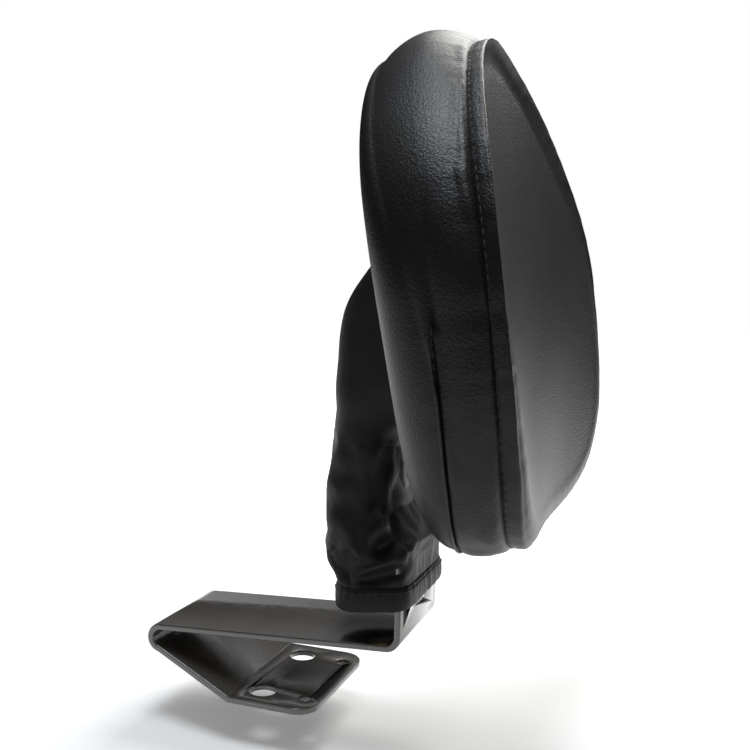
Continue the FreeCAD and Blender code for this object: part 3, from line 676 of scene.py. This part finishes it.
def build_foam(seams):
    """The foam fills the cover: a front block, and a back block round the hinge's window."""
    ridge, front_seam, back_seam, window_row = seams
    _, _, stack = cushion_grid()
    depth = FOAM_MIDDLE + (stack[:, 2] - FOAM_MIDDLE) * FOAM_THINNING
    inner = pad_to_row(depth, stack[:, 0] * FOAM_NARROWING, stack[:, 1] * FOAM_NARROWING)
    front = grid_mesh("cushion_front_foam", inner[: back_seam + 1], cap_first=True, cap_last=True)
    back_rows = [inner[row] for row in range(back_seam + 1, window_row)]
    u = inner[window_row - 1][:, 1]
    hole = inner[window_row - 1]
    for depth in (0.006, 0.012, 0.0165):
        forward = np.array([math.cos(LEAN), 0, math.sin(LEAN)]) * depth
        back_rows.append(hole + forward + 0 * u[:, None])
    back = closed_block("cushion_back_foam", np.array(back_rows))
    for piece, node in ((front, "front_foam"), (back, "back_foam")):
        dress(piece, materials["foam"])
        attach(piece, "pad")
        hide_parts(node)


cushion, cushion_normal, cushion_seams = build_cushion()
build_foam(cushion_seams)


def resampled(line, normals, spacing):
    """Evenly spaced points, directions and normals round a closed line."""
    closed = np.vstack([line, line[:1]])
    run = np.concatenate([[0], np.cumsum(np.linalg.norm(np.diff(closed, axis=0), axis=1))])
    count = int(run[-1] / spacing)
    at = np.linspace(0, run[-1], count, endpoint=False)
    extended = np.vstack([normals, normals[:1]])
    points = np.stack([np.interp(at, run, closed[:, k]) for k in range(3)], 1)
    upward = np.stack([np.interp(at, run, extended[:, k]) for k in range(3)], 1)
    ahead = np.roll(points, -1, 0) - np.roll(points, 1, 0)
    ahead /= np.linalg.norm(ahead, axis=1, keepdims=True)
    return points, ahead, upward / np.linalg.norm(upward, axis=1, keepdims=True)


def stitches(name, line, normals, pitch, length, radius, sink, shown=None):
    """A row of thread stitches: each a short arched lozenge that dips into the cover at its ends."""
    points, ahead, upward = resampled(line, normals, pitch)
    sides, rows = 6, 7
    verts, faces = [], []
    for number in range(len(points)):
        if shown is not None and not shown(points[number]):
            continue
        base = len(verts)
        side = np.cross(ahead[number], upward[number])
        for row in range(rows):
            t = row / (rows - 1) * 2 - 1
            thick = radius * math.sqrt(max(0.05, 1 - t * t * 0.85))
            arched = sink * (1 - t * t * 1.6)
            centre = points[number] + ahead[number] * (t * length / 2) + upward[number] * arched
            for k in range(sides):
                turn = 2 * math.pi * k / sides
                outwards = side * math.cos(turn) + upward[number] * 0.8 * math.sin(turn)
                verts.append(centre + outwards * thick)
        for row in range(rows - 1):
            for k in range(sides):
                m = (k + 1) % sides
                a = base + row * sides
                faces.append((a + k, a + m, a + sides + m, a + sides + k))
        faces.append(tuple(base + k for k in range(sides))[::-1])
        faces.append(tuple(base + (rows - 1) * sides + k for k in range(sides)))
    mesh = bpy.data.meshes.new(name)
    mesh.from_pydata([list(map(float, p)) for p in verts], [], faces)
    mesh.shade_smooth()
    piece = bpy.data.objects.new(name, mesh)
    bpy.context.scene.collection.objects.link(piece)
    dress(piece, materials["thread"])
    return piece


def cushion_line(row, share):
    """A line round the cushion part of the way from one grid row to the next one back."""
    line = cushion[row] * (1 - share) + cushion[row + 1] * share
    normals = cushion_normal[row] * (1 - share) + cushion_normal[row + 1] * share
    return line, normals


_, front_row, back_row, _ = cushion_seams
line, normals = cushion_line(front_row - 1, 0.55)
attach(stitches("front_seam_stitches", line, normals, 0.0034, 0.0026, 0.00030, 0.00010), "pad")
line, normals = cushion_line(back_row, 0.35)
LOW = PAD_ORIGIN.z - 0.010
back_stitches = stitches(
    "back_seam_stitches", line, normals, 0.0034, 0.0026, 0.00028, 0.00006, lambda p: p[2] < LOW
)
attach(back_stitches, "pad")


# ---------------------------------------------------------------------------------------------
# Boot
# ---------------------------------------------------------------------------------------------

BOOT_COLUMNS = 240
BOOT_WALL, HEM_WALL = 0.0012, 0.0018
HEM_ROWS, HEM_GATHERS = 18, 46
BOOT_SPLIT, HINGE_COVER = 0.103, 0.108
BOOT_ANGLES = np.linspace(0, 2 * math.pi, BOOT_COLUMNS, endpoint=False)


def row_point(w, v):
    """A point of the cushion's middle plane as (x, z) in the row frame."""
    return (
        PAD_ORIGIN.x + w * math.cos(LEAN) - v * math.sin(LEAN),
        PAD_ORIGIN.z + w * math.sin(LEAN) + v * math.cos(LEAN),
    )


def boot_sections():
    """(rear x, rear z, front x, front z, half width, front power, rear power), bottom to top."""
    top = row_point(-0.0365, -PIVOT_DROP + 0.0345)
    bottom = row_point(-0.0315, -PIVOT_DROP - 0.0345)
    return np.array(
        [
            (0.0268, 0.0400, 0.0600, 0.0450, 0.0246, 9.0, 2.3),
            (0.0264, 0.0490, 0.0600, 0.0540, 0.0245, 9.0, 2.3),
            (0.0232, 0.0600, 0.0598, 0.0640, 0.0246, 8.0, 2.3),
            (0.0224, 0.0670, 0.0597, 0.0692, 0.0247, 8.0, 2.3),
            (0.0216, 0.0770, 0.0542, 0.0785, 0.0245, 3.6, 2.2),
            (0.0214, 0.0880, 0.0515, 0.0890, 0.0241, 2.8, 2.1),
            (0.0228, 0.1020, 0.0503, 0.1010, 0.0240, 2.6, 2.1),
            (0.0243, 0.1190, 0.0510, 0.1060, 0.0243, 2.6, 2.2),
            (0.0252, 0.1370, 0.0533, 0.1100, 0.0252, 2.8, 2.6),
            (0.0282, 0.1560, 0.0564, 0.1130, 0.0258, 3.1, 2.9),
            (0.0372, 0.1720, bottom[0] - 0.0025, bottom[1] - 0.0004, 0.0262, 3.3, 3.1),
            (top[0] - 0.0020, top[1] - 0.0006, bottom[0], bottom[1], 0.0270, 3.5, 3.5),
            (top[0] + 0.0020, top[1], bottom[0] + 0.0030, bottom[1] + 0.0005, 0.0270, 3.5, 3.5),
        ]
    )


def catmull(table, count):
    """Smooth rows through a table of rows, evenly in its own numbering."""
    last = len(table) - 1
    rows = []
    for t in np.linspace(0, last, count):
        k = min(int(t), last - 1)
        f = t - k
        p0, p1 = table[max(k - 1, 0)], table[k]
        p2, p3 = table[k + 1], table[min(k + 2, last)]
        rows.append(
            0.5
            * (
                2 * p1
                + (p2 - p0) * f
                + (2 * p0 - 5 * p1 + 4 * p2 - p3) * f**2
                + (3 * p1 - p0 - 3 * p2 + p3) * f**3
            )
        )
    return np.array(rows)


def boot_grid(sections):
    rings = []
    for rear_x, rear_z, front_x, front_z, half, front_power, rear_power in sections:
        middle = np.array([(rear_x + front_x) / 2, 0, (rear_z + front_z) / 2])
        ahead = np.array([front_x - rear_x, 0, front_z - rear_z])
        length = np.linalg.norm(ahead) / 2
        ahead = ahead / np.linalg.norm(ahead)
        radius = loop_radius(BOOT_ANGLES, half, length, length, front_power, rear_power)
        across = radius * np.cos(BOOT_ANGLES)
        along = radius * np.sin(BOOT_ANGLES)
        rings.append(middle + np.outer(along, ahead) + np.outer(across, [0, 1, 0]))
    return np.array(rings)


# Folds of the boot: (from x, z), (to x, z), width, height; the same on both sides of it.
FOLDS = [
    ((0.062, 0.0925), (0.0515, 0.0775), 0.0048, 0.0040),
    ((0.0515, 0.0775), (0.0420, 0.0650), 0.0028, 0.0026),
    ((0.039, 0.0560), (0.0560, 0.0655), 0.0026, 0.0022),
    ((0.0600, 0.0690), (0.0620, 0.0560), 0.0040, 0.0016),
    ((0.0450, 0.1050), (0.0500, 0.1000), 0.0060, 0.0016),
    ((0.0240, 0.0790), (0.0400, 0.0740), 0.0060, 0.0010),
    ((0.0560, 0.0750), (0.0480, 0.0690), 0.0034, -0.0034),
    ((0.0560, 0.0600), (0.0430, 0.0555), 0.0030, -0.0016),
    ((0.0540, 0.0955), (0.0480, 0.0900), 0.0050, -0.0018),
    ((0.0300, 0.0630), (0.0360, 0.0560), 0.0040, -0.0014),
    ((0.0610, 0.0730), (0.0650, 0.0590), 0.0007, -0.0012),
]


def fold_relief(points, away):
    """How far each point stands out for the folds, faded where away from the sides."""
    total = np.zeros(points.shape[:2])
    x, z = points[:, :, 0], points[:, :, 2]
    for start, stop, width, height in FOLDS:
        dx, dz = stop[0] - start[0], stop[1] - start[1]
        length = math.hypot(dx, dz)
        along = ((x - start[0]) * dx + (z - start[1]) * dz) / length
        across = ((x - start[0]) * dz - (z - start[1]) * dx) / length
        beyond = np.maximum(0, np.maximum(-along, along - length))
        distance = np.hypot(across, beyond)
        total = total + height * np.exp(-((distance / width) ** 2))
    return total * away


def heights_of(grid):
    return grid[:, :, 2].mean(axis=1)


def build_boot():
    table = boot_sections()
    rows = HEM_ROWS * (len(table) - 1)
    sections = catmull(table, rows)
    grid = boot_grid(sections)
    normal = grid_normals(grid)
    hem_rows = HEM_ROWS
    sideways = smooth(0.35, 0.85, np.abs(normal[:, :, 1]))
    fade = smooth(hem_rows - 1, hem_rows + 8, np.arange(rows))[:, None]
    relief = fold_relief(grid, sideways) * fade
    x, y, z = grid[:, :, 0], grid[:, :, 1], grid[:, :, 2]
    slack = smooth(0.050, 0.062, z) * (1 - smooth(0.095, 0.125, z))
    relief = relief + 0.0007 * ripple(5, x * 170, y * 120, z * 330) * slack * fade
    relief = relief + 0.00035 * ripple(6, x * 120, y * 120, z * 140) * fade
    grid = grid + normal * relief[:, :, None]
    pinned = np.zeros(grid.shape[:2])
    pinned[: hem_rows + 1] = 1
    pinned[hem_rows + 1 :] = 0.04
    pinned[heights_of(grid) > HINGE_COVER] = 1
    grid = cloth_settle("boot_sim", grid, pinned, 0.6, -0.025, 0.0011, 18, rounds=4)
    return grid, hem_rows


def solid_cloth(name, outer, normal, thickness, keep_normals=True):
    """Cloth with a wall: outer rows, then inner rows.  Kept normals shade across a split."""
    piece = closed_block(name, np.concatenate([outer, (outer - normal * thickness)[::-1]]))
    if keep_normals:
        both = np.concatenate([normal, -normal[::-1]]).reshape(-1, 3)
        piece.data.normals_split_custom_set_from_vertices(both.tolist())
    dress(piece, materials["boot"])
    return piece


def build_boot_pieces():
    grid, hem_rows = build_boot()
    normal = grid_normals(grid)
    middle = int(np.argmin(np.abs(heights_of(grid) - BOOT_SPLIT)))
    low, high = slice(hem_rows - 1, middle + 1), slice(middle, None)
    lower = solid_cloth("neck_boot_lower", grid[low], normal[low], BOOT_WALL)
    upper = solid_cloth("neck_boot_upper", grid[high], normal[high], BOOT_WALL)
    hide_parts("boot_lower")
    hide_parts("boot_upper")
    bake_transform(lower)
    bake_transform(upper)

    # the hem is a rolled band that stands a little proud of the boot
    band = grid[: hem_rows + 1]
    normal = grid_normals(band)
    share = np.linspace(0, 1, hem_rows + 1)[:, None]
    swell = 0.0009 * np.sin(math.pi * np.clip(share * 1.02, 0, 1)) ** 0.5 + 0.0002
    around = np.arange(BOOT_COLUMNS)[None, :] * 2 * math.pi / BOOT_COLUMNS
    swell = swell + 0.00018 * ripple(31, around * 19, share * 2)
    swell = swell + 0.00012 * np.sin(around * HEM_GATHERS) * smooth(0.4, 0.9, share)
    band = band + normal * swell[:, :, None]
    hem = solid_cloth("neck_boot_hem", band, normal, HEM_WALL, keep_normals=False)
    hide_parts("boot_hem")
    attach(hem, "bracket")
    line = band[hem_rows - 3] + normal[hem_rows - 3] * 0.0001
    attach(stitches("hem_stitches", line, normal[hem_rows - 2], 0.0030, 0.0022, 0.00028, 0.00012), "bracket")


build_boot_pieces()


# ---------------------------------------------------------------------------------------------
# Floor, light and camera
# ---------------------------------------------------------------------------------------------

CAMERA = Vector((0.16704, -0.36606, 0.17288))
WORLD_DARK, WORLD_BEHIND, WORLD_ABOVE = 0.015, 0.34, 0.3
WORLD_LOW, WORLD_LEFT = 0.35, 0.15
RIGHT = Vector((0.9407, 0.3380, 0.0272))
UP = Vector((-0.0630, 0.0954, 0.9934))


def make_floor():
    mesh = bpy.data.meshes.new("floor")
    size, level = 3.0, -0.016
    corners = [(x * size, y * size, level) for x, y in ((-1, -1), (1, -1), (1, 1), (-1, 1))]
    mesh.from_pydata(corners, [], [(0, 1, 2, 3)])
    floor = bpy.data.objects.new("floor", mesh)
    bpy.context.scene.collection.objects.link(floor)
    recipe = Recipe("floor_paint_and_glow")
    soft = recipe.noise(3, 2.0)
    recipe.colour(recipe.blend(soft, (0.86, 0.86, 0.86), (0.88, 0.88, 0.88)))
    recipe.rough(recipe.span(soft, 0.75, 0.85))
    axes = recipe.node("ShaderNodeSeparateXYZ")
    recipe.link(recipe.place, axes.inputs[0])
    # painted light: towards the back the floor glows, an emission that brightens it until it meets the pale
    # surroundings
    glow = recipe.span(axes.outputs["Y"], 0.20, 1, 0.08, 0.60)
    recipe.link(glow, recipe.shader.inputs["Emission Strength"])
    recipe.shader.inputs["Emission Color"].default_value = (1, 1, 1, 1)
    dress(floor, recipe.material)


def area_light(name, place, target, width, height, power, colour=(1, 1, 1)):
    data = bpy.data.lights.new(name, "AREA")
    data.shape = "RECTANGLE"
    data.size, data.size_y = width, height
    data.energy = power
    data.color = colour
    lamp = bpy.data.objects.new(name, data)
    bpy.context.scene.collection.objects.link(lamp)
    lamp.location = place
    lamp.rotation_mode = "QUATERNION"
    lamp.rotation_quaternion = (Vector(target) - Vector(place)).to_track_quat("-Z", "Y")
    return lamp


def make_world():
    """Pale to look at.  It lights the object softly from behind, from the right and from above."""
    world = bpy.data.worlds.new("studio")
    world.use_nodes = True
    tree = world.node_tree

    def node(kind, **settings):
        made = tree.nodes.new(kind)
        for key, setting in settings.items():
            setattr(made, key, setting)
        return made

    def ramp(source, start, stop, low, high):
        made = node("ShaderNodeMapRange", interpolation_type="SMOOTHSTEP")
        for key, number in (("From Min", start), ("From Max", stop), ("To Min", low), ("To Max", high)):
            made.inputs[key].default_value = number
        tree.links.new(source, made.inputs["Value"])
        return made.outputs["Result"]

    def join(operation, first, second):
        made = node("ShaderNodeMath", operation=operation)
        tree.links.new(first, made.inputs[0])
        tree.links.new(second, made.inputs[1])
        return made.outputs[0]

    axes = node("ShaderNodeSeparateXYZ")
    tree.links.new(node("ShaderNodeTexCoord").outputs["Generated"], axes.inputs[0])
    behind = ramp(axes.outputs["Y"], -0.1, 0.8, WORLD_DARK, WORLD_BEHIND)
    behind = join("MULTIPLY", behind, ramp(axes.outputs["Z"], 0.2, 0.6, WORLD_LOW, 1))
    behind = join("MULTIPLY", behind, ramp(axes.outputs["X"], -0.55, -0.1, WORLD_LEFT, 1))
    above = ramp(axes.outputs["Z"], 0.35, 0.95, 0, WORLD_ABOVE)
    lighting = tree.nodes["Background"]
    lighting.inputs["Color"].default_value = (0.97, 0.98, 1.0, 1)
    tree.links.new(join("ADD", behind, above), lighting.inputs["Strength"])
    seen = node("ShaderNodeBackground")
    seen.inputs["Color"].default_value = (1, 1, 1, 1)
    seen.inputs["Strength"].default_value = 1.0
    mix = node("ShaderNodeMixShader")
    tree.links.new(node("ShaderNodeLightPath").outputs["Is Camera Ray"], mix.inputs[0])
    tree.links.new(lighting.outputs[0], mix.inputs[1])
    tree.links.new(seen.outputs[0], mix.inputs[2])
    tree.links.new(mix.outputs[0], tree.nodes["World Output"].inputs["Surface"])
    bpy.context.scene.world = world


def make_camera():
    data = bpy.data.cameras.new("camera")
    data.sensor_width = 36
    data.lens = 48
    data.clip_start = 0.01
    camera = bpy.data.objects.new("camera", data)
    bpy.context.scene.collection.objects.link(camera)
    back = RIGHT.cross(UP)
    turn = Matrix((RIGHT, UP, back)).transposed()
    camera.matrix_world = Matrix.Translation(CAMERA) @ turn.to_4x4()
    bpy.context.scene.camera = camera


make_floor()
make_world()
make_camera()
area_light("floor_glow", (0.18, 0.50, 0.60), (0.18, 0.42, 0), 0.5, 0.5, 5.0, (1.0, 0.985, 0.95))
area_light("top_soft", (0.0, -0.10, 0.90), (0.06, 0, 0.22), 0.35, 0.35, 4.0, (0.90, 0.95, 1.0))
bpy.context.scene.view_settings.view_transform = "Standard"
